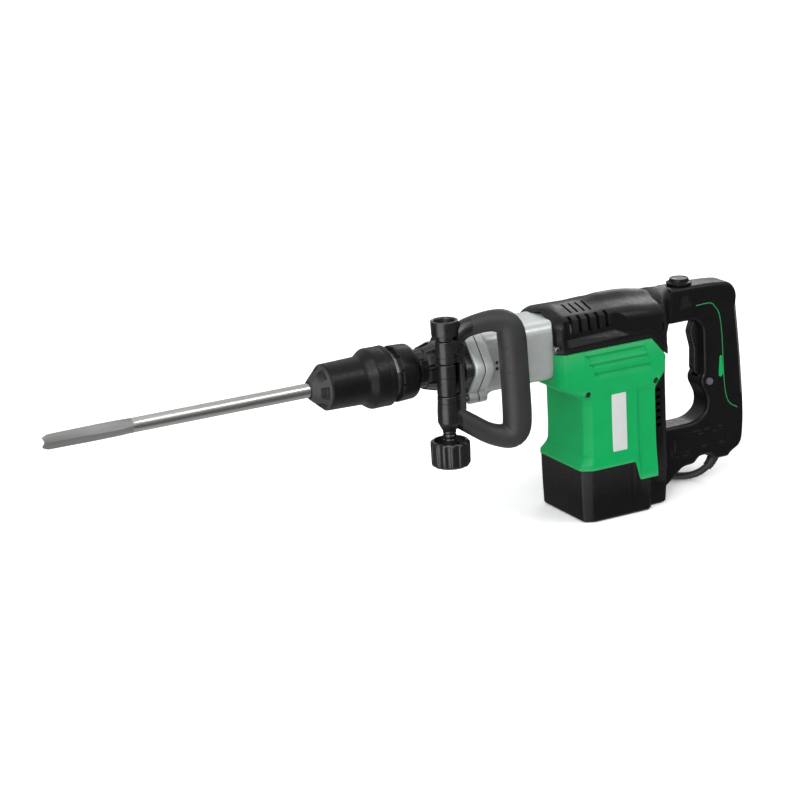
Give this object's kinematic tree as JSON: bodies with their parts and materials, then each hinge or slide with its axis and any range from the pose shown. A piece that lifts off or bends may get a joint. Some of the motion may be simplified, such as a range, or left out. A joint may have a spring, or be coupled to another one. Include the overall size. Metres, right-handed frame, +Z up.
{
  "type": "electric demolition hammer",
  "caption": "Electric jackhammer with a flat SDS-max chisel, locking sleeve, swivelling D side handle, upright motor casing and rear switch handle with a coiled supply cord.",
  "frame": {"origin": "centre of the motor base's flat underside, below the tool", "axes": "X along the tool, chisel tip at -X and rear handle at +X; Z up; side handle on -Y"},
  "size_m": [0.9851, 0.2863, 0.3146],
  "materials": {
    "green_plastic": "moulded, semi-gloss",
    "black_plastic": "moulded, fine grain",
    "black_rubber": "soft overmould",
    "cable_rubber": "smooth sheath",
    "cast_aluminium": "fine cast, satin",
    "ground_steel": "ground",
    "dark_steel": "oiled",
    "black_steel": "black painted",
    "copper_winding": "enamelled wire",
    "carbon": "pressed carbon",
    "brass_parts": "drawn"
  },
  "bodies": {
    "hammer": {"front_cover": "black_steel", "flange_plate": "cast_aluminium", "flange_gasket": "black_rubber", "flange_bolt_left": "ground_steel", "flange_bolt_right": "ground_steel", "flange_bolt_lower_left": "ground_steel", "flange_bolt_lower_right": "ground_steel", "barrel": "cast_aluminium", "cylinder_liner": "ground_steel", "stator_core": "dark_steel", "field_coil_front": "copper_winding", "field_coil_rear": "copper_winding", "brush_holder_left": "brass_parts", "brush_holder_right": "brass_parts", "carbon_brush_left": "carbon", "carbon_brush_right": "carbon", "motor_bearing_lower": "ground_steel", "motor_bearing_upper": "ground_steel", "gear_plate": "cast_aluminium", "motor_housing": "green_plastic", "housing_screw_front": "dark_steel", "housing_screw_rear": "dark_steel", "motor_cover": "black_plastic", "rear_cover": "black_plastic", "top_housing": "black_plastic", "handle_left": "black_plastic", "handle_right": "black_plastic", "grip_pad": "black_rubber", "switch_body": "black_plastic", "cable_gland": "cable_rubber", "cord": "cable_rubber", "cord_coil": "cable_rubber", "plug": "cable_rubber"},
    "tool_holder": {"tool_holder": "dark_steel", "index_ring": "black_plastic", "dust_cap": "black_rubber", "lock_roller_left": "dark_steel", "lock_roller_right": "dark_steel", "sleeve_spring": "ground_steel"},
    "locking_sleeve": {"locking_sleeve": "black_plastic"},
    "chisel": {"chisel": "ground_steel"},
    "impact_bolt": {"impact_bolt": "ground_steel"},
    "striker": {"striker": "ground_steel"},
    "piston": {"piston": "cast_aluminium", "wrist_pin": "ground_steel"},
    "connecting_rod": {"connecting_rod": "ground_steel", "crank_pin": "ground_steel"},
    "armature": {"armature_shaft": "ground_steel", "armature_core": "dark_steel", "commutator": "copper_winding", "fan": "black_plastic"},
    "crank": {"crank_shaft": "ground_steel", "crank_gear": "ground_steel"},
    "side_band": {"side_handle_band": "black_plastic", "clamp_bolt": "black_steel"},
    "side_handle": {"side_handle_grip": "black_rubber"},
    "clamp_knob": {"clamp_knob": "black_plastic"},
    "trigger": {"trigger": "black_plastic"},
    "lock_button": {"lock_button": "black_rubber"},
    "speed_dial": {"speed_dial": "black_plastic"}
  },
  "joints": [
    {"name": "tool_holder_turn", "type": "hinge", "parent": "hammer", "child": "tool_holder", "pos_m": [-0.3, 0, 0.236], "axis": [1, 0, 0], "continuous": true},
    {"name": "sleeve_pull", "type": "slide", "parent": "tool_holder", "child": "locking_sleeve", "axis": [1, 0, 0], "range_m": [0, 0.0075], "stiffness_N_per_m": 1500, "springref_m": -0.01, "deforming": ["sleeve_spring"]},
    {"name": "chisel_slide", "type": "slide", "parent": "tool_holder", "child": "chisel", "axis": [1, 0, 0], "range_m": [-0.02, 0]},
    {"name": "impact_bolt_slide", "type": "slide", "parent": "hammer", "child": "impact_bolt", "axis": [1, 0, 0], "range_m": [0, 0.0045]},
    {"name": "striker_slide", "type": "slide", "parent": "hammer", "child": "striker", "axis": [1, 0, 0], "range_m": [0, 0.018]},
    {"name": "piston_slide", "type": "slide", "parent": "hammer", "child": "piston", "axis": [1, 0, 0], "range_m": [0, 0.036]},
    {"name": "rod_swing", "type": "hinge", "parent": "piston", "child": "connecting_rod", "pos_m": [-0.131, 0, 0.236], "axis": [0, 0, 1], "range_deg": [-13.9, 13.9]},
    {"name": "armature_spin", "type": "hinge", "parent": "hammer", "child": "armature", "pos_m": [-0.008, 0, 0.1], "axis": [0, 0, 1], "continuous": true},
    {"name": "crank_spin", "type": "hinge", "parent": "hammer", "child": "crank", "pos_m": [-0.038, 0, 0.2], "axis": [0, 0, 1], "continuous": true},
    {"name": "side_band_turn", "type": "hinge", "parent": "hammer", "child": "side_band", "pos_m": [-0.249, 0, 0.236], "axis": [1, 0, 0], "continuous": true},
    {"name": "side_handle_swing", "type": "hinge", "parent": "side_band", "child": "side_handle", "pos_m": [-0.2667, -0.055, 0.236], "axis": [0, 0, 1], "range_deg": [-70, 6]},
    {"name": "clamp_knob_turn", "type": "hinge", "parent": "side_band", "child": "clamp_knob", "pos_m": [-0.2667, -0.055, 0.13], "axis": [0, 0, 1], "continuous": true},
    {"name": "trigger_press", "type": "hinge", "parent": "hammer", "child": "trigger", "pos_m": [0.154, 0, 0.229], "axis": [0, -1, 0], "range_deg": [0, 5], "stiffness_Nm_per_rad": 3, "springref_deg": -3.44},
    {"name": "lock_button_press", "type": "slide", "parent": "hammer", "child": "lock_button", "axis": [0, 1, 0], "range_m": [0, 0.003], "stiffness_N_per_m": 800, "springref_m": -0.002},
    {"name": "speed_dial_turn", "type": "hinge", "parent": "hammer", "child": "speed_dial", "pos_m": [0.1185, 0, 0.2814], "axis": [0, 0, 1], "range_deg": [-135, 135]}
  ],
  "couplings": [
    {"joint": "crank_spin", "follows": "armature_spin", "ratio": -0.25}
  ]
}
